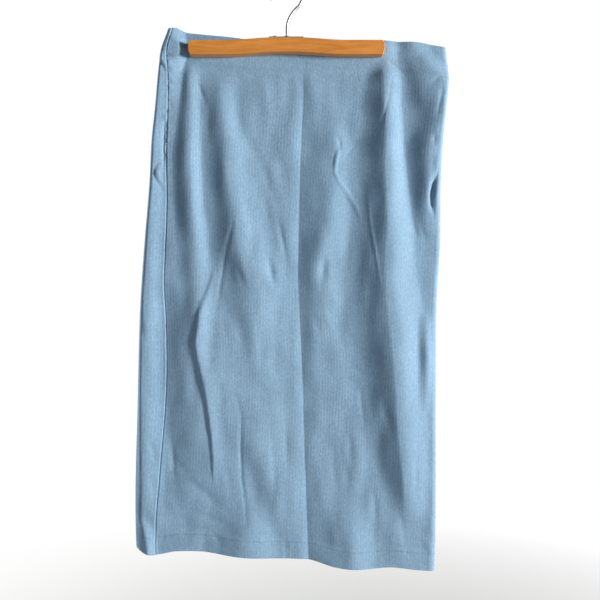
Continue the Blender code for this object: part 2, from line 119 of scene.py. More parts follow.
# Where the left side seam runs on the front, and how much the cloth steps down across it
LEFT_SEAM = (
    # drop, x, step
    (65, -152, 0.4), (93, -159, 0.5), (126, -158, 0.3), (160, -158.5, 0.1), (226, -160.5, 0.1),
    (293, -160, 0.1), (346, -161.5, 0.2), (400, -163.5, 0.4), (453, -161, 0.5), (533, -160, 0.5),
    (600, -164.5, 0.5), (660, -169.5, 0.5), (733, -174.5, 0.6), (765, -174, 0.5),
)
SEAM_NEAR = LEFT_SEAM[0][1]  # a row's drop at the seam is taken at this x
SEAM_STEP_WIDTH = 9       # width of the raised cloth left of the seam
SEAM_SINK = 0.35          # share of the step that the cloth sinks right of it
SEAM_SINK_WIDTH = 4.5
RIGHT_SEAM_PAST_FOLD = 3  # the right side seam lies this far round the fold, on the back

# How far both layers swing forward beside the jaws
SWING = (
    # drop, left, distances from the middle where it starts and ends there, right
    (60, 5.2, 133, 156, -5), (76, 5.6, 133, 155, -5), (84, 7.5, 132, 146, -5), (101, 7.5, 132, 146, -5),
    (110, 5.4, 136, 155, -3.6), (118, 4.6, 137, 157, -2.5), (140, 2, 137, 157, 0), (170, 0, 137, 157, 0),
)
SWING_RIGHT = (132, 152)  # the same distances at the right

# Ridges that stand out from the front layer: how crisp the left and right flanks are (1 is a plain
# bell, less is steep at the crest and more is steep at the foot), then the rows
FRONT_RIDGES = {
    "left_of_jaws": ((0.9, 0.9), (
        # drop, crest x, height, left width, right width
        (60, -160, 1, 8, 24), (93, -164, 1.5, 8, 26), (120, -168, 2.2, 6, 34), (160, -172, 1.5, 6, 34),
        (195, -174, 0, 6, 30),
    )),
    "left_edge": ((1, 1), (
        (110, -172, 0, 6, 16), (130, -175, 2, 7, 17), (160, -178, 3.8, 8, 20), (226, -182, 5, 8, 22),
        (293, -185, 6, 8, 25), (360, -188, 7, 8, 27), (426, -191, 7.8, 8, 30), (500, -192, 8.8, 8, 32),
        (600, -192, 9.2, 8, 33), (666, -191, 8, 10, 32), (706, -190, 5.5, 12, 30),
        (740, -188, 2.5, 12, 26), (765, -186, 0, 12, 22),
    )),
    "left": ((1, 1), (
        (102, -127, 0.8, 8, 14), (122, -129, 2, 10, 16), (142, -129, 3.4, 14, 16), (160, -129, 4.2, 16, 16),
        (193, -129, 5.5, 20, 16), (226, -129, 6.2, 25, 17), (260, -128.7, 6.2, 25, 18),
        (293, -127.3, 6.2, 25, 18), (326, -124, 6, 26, 20), (360, -122.7, 5.5, 26, 21),
        (393, -122, 4.5, 25, 24), (426, -116.7, 3.5, 24, 22), (466, -113.3, 2, 20, 20),
        (500, -113, 0, 20, 20),
    )),
    "pinch": ((0.75, 0.75), (
        (385, -96, 0, 4, 14), (400, -99.5, 1, 5, 14), (426, -108.5, 1.6, 6, 15), (440, -113.3, 2.2, 7, 16),
        (466, -116.7, 3, 8, 17), (481, -119.3, 3.4, 8, 18), (493, -118, 3.3, 8, 18),
        (520, -112.7, 3.2, 7.5, 20), (546, -106.7, 3.1, 7, 22), (573, -102.7, 3, 6.5, 22),
        (600, -99.3, 2.8, 6, 20), (626, -97, 2.2, 5, 18), (653, -96.5, 1.2, 4, 16), (675, -96, 0, 4, 14),
    )),
    "left_low": ((1.6, 1), (
        (400, -114, 0, 46, 100), (440, -112, 5.5, 50, 115), (466, -112, 7, 52, 125), (506, -111, 8, 53, 130),
        (546, -106, 8, 58, 130), (586, -101, 7, 60, 125), (626, -98, 5.5, 62, 115), (666, -97, 3.5, 58, 100),
        (706, -97, 1, 52, 90), (730, -97, 0, 50, 90),
    )),
    "left_of_centre": ((0.85, 1), (
        (112, -92, 0, 16, 22), (133, -89, 1.8, 22, 24), (160, -86.7, 3.8, 26, 26), (193, -84.7, 6.5, 28, 26),
        (226, -82, 7.5, 31, 36), (260, -78, 7.5, 31, 42), (293, -74, 8, 33, 44), (326, -68.3, 9, 37, 46),
        (360, -62, 9.5, 40, 56), (393, -50.7, 9, 44, 60), (426, -48.4, 7.5, 40, 60), (466, -41.6, 5, 26, 56),
        (506, -38, 2, 20, 50), (546, -36, 0, 20, 50),
    )),
    "centre_left_low": ((1, 1), (
        (535, -36, 0, 36, 40), (573, -36, 1.8, 36, 44), (626, -33, 3.2, 32, 50), (666, -22, 3.4, 26, 50),
        (706, -17, 2, 24, 44), (740, -14, 0, 24, 40),
    )),
    "centre_right": ((1, 1), (
        (150, 54, 0, 34, 26), (193, 58, 1.5, 36, 28), (226, 62, 3, 38, 26), (260, 60, 4.5, 40, 26),
        (293, 60, 5, 40, 28), (326, 55, 5.2, 36, 32), (360, 46, 5, 30, 38), (393, 40, 4.2, 26, 40),
        (426, 48, 3.5, 30, 36), (466, 40, 2.5, 24, 40), (506, 40, 1.5, 24, 40), (560, 42, 0, 24, 40),
    )),
    "right": ((0.68, 1.25), (
        (62, 134, 1.5, 6, 9), (93, 133, 2.2, 8, 14), (109, 130, 3.8, 17, 22), (133, 130, 7.4, 29, 25),
        (160, 130, 9.7, 33, 25), (193, 132.5, 10.5, 40, 25), (226, 131.5, 11.5, 44, 27),
        (260, 131, 12, 46, 31), (293, 132.5, 13, 51, 33), (326, 134, 13.7, 54, 36),
        (360, 131.5, 13.8, 55, 42), (393, 130.5, 13.8, 58, 46), (426, 132, 13.8, 59, 52),
        (466, 137, 14.2, 57, 50), (506, 141.5, 14.2, 58, 47), (546, 144.5, 13.4, 53, 45),
        (586, 146.5, 12.4, 48, 45), (626, 150.5, 11.3, 42, 43), (666, 155, 9.3, 32, 41),
        (706, 157, 2.5, 24, 36), (735, 158, 0, 28, 36),
    )),
    "right_fold": ((0.85, 1), (
        (60, 172, 2, 20, 22), (93, 174, 3, 21, 26), (109, 188, 3.2, 32, 26), (133, 207, 8.2, 52, 30),
        (160, 208, 12.2, 52, 30), (193, 202, 12.6, 45, 40), (226, 191.5, 11.2, 35, 55),
        (260, 189.5, 10, 28, 60), (286, 188, 8, 24, 60), (306, 187.5, 6, 22, 50), (326, 188, 3, 20, 40),
        (345, 189, 0, 18, 30),
    )),
    "right_top": ((1, 1), (
        (96, 174, 0, 20, 40), (109, 175, 2.6, 21, 42), (125, 177, 3.4, 22, 45), (142, 179, 2.8, 24, 45),
        (175, 182, 0, 26, 45),
    )),
    "right_edge": ((0.9, 0.9), (
        (440, 186, 0, 12, 12), (466, 186, 4, 14, 12), (506, 186.5, 6, 14, 12), (546, 186, 4, 14, 12),
        (580, 185, 0, 12, 12),
    )),
    "right_low": ((1, 1), (
        (600, 88, 0, 16, 22), (626, 88, 1, 16, 22), (666, 91, 1.3, 18, 26), (700, 92, 0, 18, 26),
    )),
    "hem_corner": ((0.8, 0.8), (
        (690, -199, 0, 10, 10), (706, -197, 1, 10, 10), (740, -186, 6, 17, 15), (768, -183, 7.5, 18, 15),
    )),
    "hem_left": ((1, 1), (
        (680, -52, 0, 44, 30), (710, -52, 3.5, 54, 34), (740, -51, 7.5, 62, 42), (770, -50, 8, 62, 42),
    )),
    "hem_right": ((1, 1), (
        (690, 80, 0, 40, 24), (706, 82, 3, 48, 30), (740, 84, 6.5, 55, 36), (770, 85, 7, 55, 36),
    )),
}

# Ridges that stand out from the back layer, which the photograph hides
BACK_RIDGES = {
    "left": ((0.9, 0.9), (
        (110, -126, 0, 20, 24), (150, -124, 5, 24, 26), (260, -121, 8, 34, 34), (400, -116, 8, 38, 40),
        (560, -110, 6, 38, 40), (700, -106, 2, 36, 40), (760, -105, 0, 36, 40),
    )),
    "centre": ((0.9, 0.9), (
        (115, 20, 0, 22, 24), (170, 24, 4, 26, 28), (320, 30, 6, 36, 36), (480, 34, 5, 40, 38),
        (640, 38, 2, 40, 38), (720, 40, 0, 40, 38),
    )),
    "right": ((0.9, 0.9), (
        (62, 142, 1.5, 18, 22), (110, 141, 4, 20, 24), (150, 139, 8, 28, 28), (290, 136, 10, 38, 36),
        (450, 140, 8, 42, 38), (600, 147, 5, 40, 38), (700, 152, 0, 36, 34),
    )),
}

# The crease left down the middle of both layers by storing the skirt folded in two
CENTRE_CREASE = (
    # drop, x, depth, left width, right width
    (90, 22.5, 1, 13, 18), (160, 22, 1.5, 13, 19), (193, 20.6, 1.8, 13, 20), (246, 18.4, 1.9, 13, 20),
    (346, 16, 1.9, 13, 20), (386, 15.2, 1.8, 13, 20), (457, 18, 1.7, 13, 20), (523, 21, 1.8, 13, 20),
    (636, 24.3, 2.2, 15, 21), (702, 26.8, 2.8, 19, 23), (790, 29.5, 2.8, 20, 24),
)

# Small creases: a negative height is a trough
CREASE_REACH = 4          # a crease is felt as far as this many of its widths
CREASE_END = 0.25         # share of its height that is left at its ends

# Those of the front
FRONT_CREASES = (
    # height, width, points of the line as (x, drop)
    (-1.0, 2, ((-154, 66), (-163, 95))),
    (-1.8, 2, ((-166, 101), (-153, 101))),
    (1.5, 2.2, ((-168, 103), (-160, 114))),
    (-1.7, 2.2, ((-170, 108), (-161, 122))),
    (-2.0, 2.4, ((-163.5, 190), (-164.5, 226), (-163.5, 252))),
    (-2.0, 2.5, ((-169, 240), (-179, 256), (-165, 280))),
    (1.6, 3.5, ((-171, 245), (-172, 262), (-167, 274))),
    (-0.9, 4, ((-182, 612), (-174, 640))),
    (-0.8, 4, ((-181, 660), (-174, 690))),
    (-0.9, 3.5, ((-119, 136), (-107, 166))),
    (0.7, 6, ((-178, 320), (-181, 420), (-182, 520))),
    (-1.2, 3, ((-194, 450), (-189, 476))),
    (-0.8, 3, ((-72, 307), (-71, 326), (-83, 376), (-87, 400), (-92, 430), (-94, 446))),
    (-0.5, 6, ((-54, 200), (-42, 233))),
    (-0.7, 6, ((-42, 226), (-12, 300))),
    (-0.6, 5, ((-30, 285), (-22, 326))),
    (0.6, 7, ((-10, 215), (2, 255))),
    (-0.5, 6, ((-58, 280), (-46, 335))),
    (0.6, 7, ((-34, 330), (-40, 372))),
    (0.4, 3.5, ((-61, 376), (-50, 404))),
    (-0.35, 3.5, ((-65, 384), (-56, 408))),
    (-2.2, 5.5, ((-24, 374), (-17, 404))),
    (-1.0, 3.5, ((-10, 322), (0, 372))),
    (-2.4, 6, ((50, 368), (48, 402))),
    (1.4, 2.3, ((70, 224), (66, 240), (64, 256))),
    (1.5, 2.1, ((64, 256), (68, 266), (81, 284), (93, 303), (99, 316))),
    (-1.2, 2.5, ((67, 209), (71, 217), (70, 226))),
    (-0.6, 3, ((95, 214), (76, 240))),
    (0.55, 1.9, ((109, 286), (111, 320), (116, 350), (121, 380), (124, 406))),
    (-0.6, 2, ((139.5, 128), (137, 150), (131.5, 173), (125, 197))),
    (-4.4, 2.6, ((200.7, 258), (194.2, 271), (191.6, 285), (192, 298), (196, 311))),
    (2.4, 2.6, ((203, 267), (200, 280), (199.4, 289), (200, 302))),
    (0.8, 2.6, ((200, 234), (198, 254))),
    (-0.9, 4, ((194, 205), (196, 216))),
    (-1.1, 4, ((168, 323), (178, 346))),
    (-0.8, 4, ((177, 321), (187, 350))),
    (-0.35, 3, ((22, 262), (129, 262))),
    (-0.7, 3, ((87, 515), (100, 524), (118, 529), (138, 530))),
    (-0.5, 4, ((40, 696), (85, 702), (115, 697))),
    (-0.7, 5, ((34, 446), (44, 468))),
    (0.6, 5, ((48, 440), (58, 462))),
    (-1.0, 3, ((-66, 556), (-60, 582), (-61, 626), (-60, 662), (-55, 697), (-53, 724))),
    (-0.6, 4, ((-1, 586), (1, 660))),
    (-0.6, 4, ((-2, 740), (0, 770))),
    (-1.6, 5.5, ((-135, 664), (-118, 676), (-92, 696))),
    (-0.9, 4.5, ((-150, 640), (-132, 655))),
    (-1.2, 4.5, ((-154, 612), (-151, 640), (-150, 664))),
    (-1.3, 5.5, ((-128, 708), (-100, 718), (-64, 734))),
    (0.6, 4.5, ((-162, 690), (-146, 706))),
    (-0.6, 5, ((-80, 640), (-74, 690))),
    (-0.6, 4.5, ((-100, 735), (-84, 752))),
    (-0.6, 4.5, ((-20, 610), (-14, 690))),
    (0.5, 5, ((60, 720), (66, 760))),
    (-0.6, 4.5, ((128, 560), (140, 600))),
    (-0.7, 3.5, ((98, 545), (103, 590))),
    (-0.5, 4.5, ((150, 705), (160, 760))),
    (-0.5, 5, ((60, 620), (66, 680))),
    (-1.1, 5, ((84, 606), (86, 640))),
    (-0.8, 5, ((80, 652), (83, 672))),
    (-0.9, 4.5, ((116, 684), (119, 724))),
    (-0.4, 3, ((171, 630), (172, 694))),
    (0.9, 4, ((183, 742), (195, 766))),
    (-1.2, 2.5, ((192.7, 138), (206, 128))),
    (-1.2, 3, ((207, 145), (203, 166), (200, 182))),
    (-1.5, 3, ((192.7, 217), (199.5, 211))),
)

# Similar ones of the back, which the photograph hides
BACK_CREASES = (
    (-1.6, 7, ((-70, 372), (-66, 402))),
    (-0.8, 4, ((-70, 300), (-58, 352))),
    (1.3, 4, ((92, 232), (98, 262), (86, 300))),
    (-0.7, 4, ((88, 420), (96, 480), (92, 540))),
    (0.8, 4, ((60, 220), (52, 262), (70, 300))),
    (-0.35, 3, ((-120, 262), (22, 262))),
    (-0.5, 4, ((-60, 702), (-10, 706))),
    (-0.7, 3, ((-20, 560), (-16, 640), (-22, 700))),
    (-0.6, 5, ((110, 640), (128, 668))),
)

# Short puckers that the left side seam draws into the cloth on both its sides
PUCKER_SEED = 4
PUCKER_DROPS = (112, 232, 7)  # first, last and spacing
PUCKER_HEIGHT = (0.8, 1.3)
PUCKER_LENGTH = (3, 6)
PUCKER_LEAN = 5
PUCKER_WIDTH = 2

# Slight unevenness of a knit that is not pressed: waves of random direction, the same in every run
UNEVEN_SEED = 12
UNEVEN_WAVES = 26
UNEVEN_ACROSS = (16, 75)
UNEVEN_DOWN = (50, 260)
UNEVEN_HEIGHT = 0.10      # height of a wave of the middle width
UNEVEN_MIDDLE = 40
UNEVEN_PATCH = (140, 90)  # how far apart, across and down, its patches swell and fade
UNEVEN_MIRROR = 300       # the back has the front's waves, turned about half this x

# Hanger
JAW_LENGTH = 260
JAW_HEIGHT = 19
JAW_TOP = -83.2
JAW_RISE = 3.5
JAW_RISE_START = 12
JAW_RISE_END = 80
JAW_END_BULGE = 3.5
JAW_END_TURN = 75         # the ends are drawn round from this many degrees below level to as many above
JAW_EDGE = 0.7            # radius of a jaw's worn edges
JAW_SHARP = 40            # edges that turn by more degrees than this are worn
JAW_ARCH_POINTS = 33
JAW_END_POINTS = 11
PINCH_MARGIN = 3
PINCH_SIDE = (12, 30)     # how quickly the cloth opens beside the jaws' left and right ends
PINCH_BELOW = 103         # drop where the cloth starts to open below the jaws
PINCH_LENGTH = 47         # length over which it opens there
PINCH_ENDS = (85, 130, 0.55)  # between these distances from the middle that length shrinks to this share
WIRE_RADIUS = 1.9
HOOK_RADIUS = 21
HOOK_TIP_ANGLE = 192
HOOK_NECK_ANGLE = -38
HOOK_POINTS = 60
NECK_POINTS = 24

# Colours, linear
YARN = (0.212, 0.342, 0.486, 1)
YARN_PALER = (0.236, 0.372, 0.519, 1)
YARN_STREAK = (0.325, 0.475, 0.62, 1)
YARN_GRAIN = (0.11, 0.195, 0.30, 1)
# painted shade: the colour that the grooves between the ribs are darkened towards
YARN_GROOVE_PAINTED_SHADE = (0.12, 0.195, 0.28, 1)
# painted shade: the colour that the low places between the stitch loops are darkened towards
YARN_HOLE_PAINTED_SHADE = (0.14, 0.225, 0.32, 1)
YARN_FUZZ = (0.42, 0.56, 0.67, 1)
# the thread's colours, made much darker with painted shade of the groove that each stitch line lies in
THREAD_AND_PAINTED_SHADE = (0.07, 0.115, 0.17, 1)
THREAD_PALER_AND_PAINTED_SHADE = (0.12, 0.19, 0.27, 1)
WOOD = (0.50, 0.178, 0.026, 1)
WOOD_PALER = (0.64, 0.258, 0.052, 1)
WOOD_GRAIN = (0.42, 0.148, 0.022, 1)
WOOD_FLECK = (0.25, 0.085, 0.02, 1)
STEEL = (0.60, 0.60, 0.60, 1)
STEEL_PALER = (0.72, 0.72, 0.71, 1)
FLOOR = (0.80, 0.80, 0.79, 1)
FLOOR_PALER = (0.84, 0.84, 0.83, 1)
WHITE = (1, 1, 1, 1)
BLACK = (0, 0, 0, 1)

# Pattern of the knit
WALES_PER_RIB = 3.0
STITCHES_PER_MM = 1.05
STITCH_SLANT = 1.3        # how far the arms of a stitch lean, in stitches

# Camera: level, at the photograph's distance, with its frame 800 mm wide at the cloth
CAMERA = (18, -1006, -426.3)
LENS = 45
SENSOR = 36

# Light and floor, in metres from the frame's origin: a key low on the right that shows the relief, a lamp
# behind for the back, and a soft surround
LAMPS = (
    # name, place, size, spread in degrees, power, colour
    ("key", (4.05, -1.68, -0.04), 0.8, 64, 50, (1.03, 1.0, 0.94)),
    ("back", (-3.3, 1.9, 0.3), 0.9, 180, 200, (1.0, 1.0, 0.97)),
)
LAMP_AIM = (0.0, 0.0, -0.15)
SURROUND = (0.90, 1.0, 1.12)
SURROUND_LIGHT = 0.135
FLOOR_HEIGHT = -1.05
FLOOR_SIZE = 2.6
FLOOR_FADE = (0.5, 1.15)  # distances over which the floor brightens into the white surround


def read(table, at, column):
    """Smooth value of a table's column, where the first column is `at`; held level past both ends."""
    keys = np.array([row[0] for row in table], dtype=float)
    values = np.array([row[column] for row in table], dtype=float)
    slopes = np.gradient(values, keys)
    at = np.clip(at, keys[0], keys[-1])
    left = np.clip(np.searchsorted(keys, at, side="right") - 1, 0, len(keys) - 2)
    step = keys[left + 1] - keys[left]
    t = (at - keys[left]) / step
    rise = values[left + 1] - values[left]
    bend = t * (1 - t) * ((1 - t) * (slopes[left] * step - rise) - t * (slopes[left + 1] * step - rise))
    return values[left] + t * rise + bend


def smooth_step(value, start, end):
    """0 before start, 1 after end, and a smooth rise between them."""
    t = np.clip((value - start) / (end - start), 0, 1)
    return t * t * (3 - 2 * t)


def ridge(crispness, table, x, drop):
    """Height of one ridge at each point."""
    offset = x - read(table, drop, 1)
    height = np.maximum(read(table, drop, 2), 0)
    width = np.where(offset < 0, read(table, drop, 3), read(table, drop, 4))
    share = np.clip(np.abs(offset) / width, 0, 1) ** np.where(offset < 0, *crispness)
    return height * (0.5 + 0.5 * np.cos(math.pi * share))


def crease(table, x, drop):
    """Depth of a sharp crease at each point."""
    offset = x - read(table, drop, 1)
    width = np.where(offset < 0, read(table, drop, 3), read(table, drop, 4))
    share = np.clip(np.abs(offset) / width, 0, 1)
    return read(table, drop, 2) * (1 - share) ** 2


def small_creases(creases, x, drop):
    """Height of the short creases, each of which fades out at its ends."""
    total = np.zeros_like(x)
    for height, width, points in creases:
        low = min(point[1] for point in points) - CREASE_REACH * width
        high = max(point[1] for point in points) + CREASE_REACH * width
        if drop.max() < low or drop.min() > high:
            continue
        nearest = np.full_like(x, np.inf)
        along = np.zeros_like(x)
        length = sum(math.dist(a, b) for a, b in zip(points, points[1:]))
        start = 0.0
        for a, b in zip(points, points[1:]):
            run = math.dist(a, b)
            t = np.clip(((x - a[0]) * (b[0] - a[0]) + (drop - a[1]) * (b[1] - a[1])) / run ** 2, 0, 1)
            away = np.hypot(x - a[0] - t * (b[0] - a[0]), drop - a[1] - t * (b[1] - a[1]))
            along = np.where(away < nearest, (start + t * run) / length, along)
            nearest = np.minimum(nearest, away)
            start += run
        fade = CREASE_END + (1 - CREASE_END) * np.sin(math.pi * np.clip(along, 0.0, 1.0))
        total += height * fade * np.exp(-(nearest / width) ** 2)
    return total


def puckers():
    """The seam's puckers as small creases, ridges and troughs in turn, the same in every run."""
    draw = np.random.default_rng(PUCKER_SEED)
    rows = []
    for turn, drop in enumerate(range(*PUCKER_DROPS)):
        height = draw.uniform(*PUCKER_HEIGHT) * (-1) ** turn
        x = float(read(LEFT_SEAM, drop, 1))
        end = x + draw.choice((-1, 1)) * draw.uniform(*PUCKER_LENGTH)
        rows.append((height, PUCKER_WIDTH, ((x, drop), (end, drop + draw.uniform(-1, 1) * PUCKER_LEAN))))
    return tuple(rows)


def unevenness(x, drop):
    """Height of the slow uneven waves at each point."""
    draw = np.random.default_rng(UNEVEN_SEED)
    total = np.zeros_like(x)
    for _ in range(UNEVEN_WAVES):
        across = draw.uniform(*UNEVEN_ACROSS)
        down = draw.uniform(*UNEVEN_DOWN) * draw.choice((-1, 1))
        phase = draw.uniform(0, 2 * math.pi)
        patch = draw.uniform(0, 2 * math.pi)
        wave = np.sin(2 * math.pi * (x / across + drop / down) + phase)
        swell = np.sin(drop / UNEVEN_PATCH[1] + x / UNEVEN_PATCH[0] + patch)
        total += UNEVEN_HEIGHT * across / UNEVEN_MIDDLE * wave * swell
    return total


SEAM_PUCKERS = puckers()


def freedom(x, drop):
    """0 where the jaws clamp the cloth, 1 where it hangs free."""
    clamped = JAW_LENGTH / 2 + PINCH_MARGIN
    beside = smooth_step(np.abs(x), clamped, clamped + np.where(x < 0, *PINCH_SIDE))
    start, end, shortest = PINCH_ENDS
    length = PINCH_LENGTH * (1 - (1 - shortest) * smooth_step(np.abs(x), start, end))
    return np.maximum(beside, smooth_step(drop, PINCH_BELOW, PINCH_BELOW + length))


def turned_in(share):
    """Thickness of the cloth that is turned in and stitched behind the outer layer."""
    casing = CASING_WALLS * (1 - smooth_step(share, CASING_SHARE, CASING_SHARE + TURNED_SHARE))
    hem = smooth_step(share, HEM_SHARE - TURNED_SHARE, HEM_SHARE)
    return CLOTH * (casing + hem)


def stitch_groove(share):
    """How far the two stitch lines draw the cloth in."""
    return sum(depth * np.exp(-((share - line) / reach) ** 2) for _, line, _, depth, reach in STITCH_LINES)


def seam_step(x, drop):
    """The cloth steps down from the left of the left side seam to its right."""
    offset = x - read(LEFT_SEAM, drop, 1)
    step = read(LEFT_SEAM, drop, 2)
    raised = np.exp(-np.clip(-offset, 0, None) / SEAM_STEP_WIDTH)
    sunk = -SEAM_SINK * np.exp(-np.clip(offset, 0, None) / SEAM_SINK_WIDTH)
    return step * np.where(offset < 0, raised, sunk)


def layer_depth(x, drop, share, front):
    """How far one layer of knit lies from the middle of the skirt, away from the side folds."""
    ridges = FRONT_RIDGES if front else BACK_RIDGES
    raised = sum(ridge(crispness, table, x, drop) for crispness, table in ridges.values())
    raised = raised + small_creases(FRONT_CREASES + SEAM_PUCKERS if front else BACK_CREASES, x, drop)
    raised = raised + unevenness(x if front else UNEVEN_MIRROR - x, drop)
    if front:
        raised = raised + seam_step(x, drop)
    hollow = read(SIDES, drop, 3) / 2 + raised - crease(CENTRE_CREASE, x, drop)
    depth = CLAMPED_GAP / 2 + turned_in(share) + freedom(x, drop) * np.maximum(hollow, LEAST_HOLLOW)
    return depth - stitch_groove(share)


def swing(x, drop):
    """How far both layers swing forward at each point, beside the jaws."""
    left = read(SWING, drop, 1) * smooth_step(-x, read(SWING, drop, 2), read(SWING, drop, 3))
    right = read(SWING, drop, 4) * smooth_step(x, *SWING_RIGHT)
    return left + right


def fold_shape(room, depth):
    """Share of its depth that the tube keeps this far in from a side fold."""
    taper = FOLD_DEPTH + (1 - FOLD_DEPTH) * smooth_step(room, 0, FOLD_TAPER)
    reach = FOLD_ROUND * FOLD_DEPTH * depth
    return taper * np.sqrt(1 - np.clip(1 - room / reach, 0, 1) ** 2)


def section(share):
    """The tube's inner loop at one share of its length: x, y, z along the front and back along the back."""
    def row_drop(x):
        return (1 - share) * read(WAIST_EDGE, x, 1) + share * read(HEM_EDGE, x, 1)

    left = read(SIDES, row_drop(SIDES_NEAR[0]), 1) + CLOTH + RIB
    right = read(SIDES, row_drop(SIDES_NEAR[1]), 2) - CLOTH - RIB
    across = np.sin(np.linspace(-math.pi / 2, math.pi / 2, LOOP_POINTS))
    x = (left + right) / 2 + across * (right - left) / 2
    drop = row_drop(x)
    room = np.minimum(x - left, right - x)
    flatness = fold_shape(room, turned_in(share) + read(SIDES, drop, 3) / 2)
    forward = swing(x, drop)
    front = -flatness * layer_depth(x, drop, share, True) - forward
    back = flatness * layer_depth(x, drop, share, False) - forward
    return (
        np.concatenate((x, x[-2::-1])),
        np.concatenate((front, back[-2::-1])),
        -np.concatenate((drop, drop[-2::-1])),
    )


class PanelRow:
    """One row of a panel: any place along it from its first side seam (0) to its second (1)."""

    def __init__(self, share, panel):
        self.share = share
        x, y, z = section(share)
        reach = np.concatenate(((0.0,), np.cumsum(np.hypot(np.diff(x), np.diff(y)))))
        front_x, front_reach = x[:LOOP_POINTS], reach[:LOOP_POINTS]
        seam_drop = -np.interp(SEAM_NEAR, front_x, z[:LOOP_POINTS])
        left_seam = float(np.interp(read(LEFT_SEAM, seam_drop, 1), front_x, front_reach))
        right_seam = front_reach[-1] + RIGHT_SEAM_PAST_FOLD
        self.ribs = RIBS[panel]
        if panel == "front":
            self.start, self.end = left_seam + SEAM_GAP / 2, right_seam - SEAM_GAP / 2
        else:
            self.start, self.end = right_seam + SEAM_GAP / 2, reach[-1] + left_seam - SEAM_GAP / 2
        self.loop = np.concatenate((reach, reach[1:] + reach[-1]))
        self.x, self.y, self.z = (np.concatenate((values, values[1:])) for values in (x, y, z))

    def points(self, shares, offset, along=0.0):
        """Points at these shares of the row's width, moved out of the cloth and along the skirt."""
        at = self.start + np.asarray(shares) * (self.end - self.start)
        before, after = at - NORMAL_REACH, at + NORMAL_REACH
        ahead_x = np.interp(after, self.loop, self.x) - np.interp(before, self.loop, self.x)
        ahead_y = np.interp(after, self.loop, self.y) - np.interp(before, self.loop, self.y)
        length = np.hypot(ahead_x, ahead_y)
        return np.column_stack((
            np.interp(at, self.loop, self.x) + offset * ahead_y / length,
            np.interp(at, self.loop, self.y) - offset * ahead_x / length,
            np.interp(at, self.loop, self.z) - along + np.zeros(len(at)),
        ))

    def wall(self, shares):
        """Thickness of the outer layer: ribs between grooves, rolled in at the side seams."""
        at = np.asarray(shares)
        column = at * self.ribs * RIB_COLUMNS
        profile = np.interp(column % RIB_COLUMNS, range(RIB_COLUMNS + 1), (*RIB_PROFILE, RIB_PROFILE[0]))
        room = np.minimum(at, 1 - at) * (self.end - self.start)
        roll = np.sqrt(1 - np.clip(1 - room / SEAM_ROLL, 0, 1) ** 2)
        return (CLOTH + RIB * profile) * (SEAM_DIP + (1 - SEAM_DIP) * roll)


def zip_strip(first, first_places, second, second_places):
    """Triangles between two runs of points that differ in number, matched by their places."""
    faces = []
    i = j = 0
    while i < len(first) - 1 or j < len(second) - 1:
        step_first = i < len(first) - 1 and (
            j == len(second) - 1 or first_places[i + 1] <= second_places[j + 1])
        if step_first:
            faces.append((first[i], first[i + 1], second[j]))
            i += 1
        else:
            faces.append((first[i], second[j + 1], second[j]))
            j += 1
    return faces


def grid_faces(ids):
    """Quads of a grid of point numbers."""
    quads = np.stack((ids[:-1, :-1], ids[1:, :-1], ids[1:, 1:], ids[:-1, 1:]), axis=-1)
    return quads.reshape(-1, 4).tolist()


def rib_map(mesh, across, down):
    """Stores how many ribs across and how many millimetres down each corner lies, for the material."""
    corner = np.empty(len(mesh.loops), dtype=np.int32)
    mesh.loops.foreach_get("vertex_index", corner)
    layer = mesh.uv_layers.new(name="ribs")
    layer.data.foreach_set("uv", np.column_stack((across[corner], down[corner])).ravel())


def cloth_panel(name, panel, material):
    """One panel as a closed wall of knit: ribbed outside, with rounded edges and a plain inside."""
    ribs = RIBS[panel]
    columns = ribs * RIB_COLUMNS + 1
    outer_at = np.linspace(0, 1, columns)
    inner_at = np.linspace(0, 1, ribs + 1)
    outer, outer_down = [], []
    inner, inner_down = [], []

    def rim(share, way):
        """Rows round the waist edge (way -1) or the hem edge (way 1), from outside to inside."""
        row = PanelRow(share, panel)
        wall = row.wall(outer_at)
        inside = turned_in(share)
        for angle in RIM_ANGLES:
            turn = math.radians(angle)
            half = (wall + inside) / 2
            offset = (wall - inside) / 2 + half * math.cos(turn)
            yield row.points(outer_at, offset, way * half * math.sin(turn)), angle

    top, bottom = EDGE_MARGIN, 1 - EDGE_MARGIN
    for points, angle in reversed(list(rim(top, -1))):
        outer.append(points)
        outer_down.append(top - angle * RIM_STEP)
    rows = top + (bottom - top) * np.linspace(0, 1, ROWS) ** ROW_CROWDING
    stitched = [line[1] + away for line in STITCH_LINES for away in STITCH_ROWS]
    for share in np.unique(np.concatenate((rows, stitched))):
        row = PanelRow(share, panel)
        outer.append(row.points(outer_at, row.wall(outer_at)))
        outer_down.append(share)
    for points, angle in rim(bottom, 1):
        outer.append(points)
        outer_down.append(bottom + angle * RIM_STEP)
    for share in np.linspace(top, bottom, INNER_ROWS):
        row = PanelRow(share, panel)
        inner.append(row.points(inner_at, -turned_in(share)))
        inner_down.append(share)
    inner_down[0], inner_down[-1] = outer_down[0], outer_down[-1]

    outer_ids = np.arange(len(outer) * columns).reshape(len(outer), columns)
    inner_ids = outer_ids.size + np.arange(len(inner) * (ribs + 1)).reshape(len(inner), ribs + 1)
    faces = grid_faces(outer_ids) + grid_faces(inner_ids[:, ::-1])
    for row in (0, -1):
        faces += zip_strip(outer_ids[row], outer_at, inner_ids[row], inner_at)
    for column in (0, -1):
        faces += zip_strip(outer_ids[:, column], outer_down, inner_ids[:, column], inner_down)
    points = np.concatenate(outer + inner) * MM
    mesh = bpy.data.meshes.new(name)
    mesh.from_pydata(points.tolist(), [], [list(map(int, face)) for face in faces])

    across = np.concatenate((np.tile(outer_at, len(outer)), np.tile(inner_at, len(inner)))) * ribs
    rib_map(mesh, across, -points[:, 2] / MM)
    return finish_mesh(name, mesh, material)


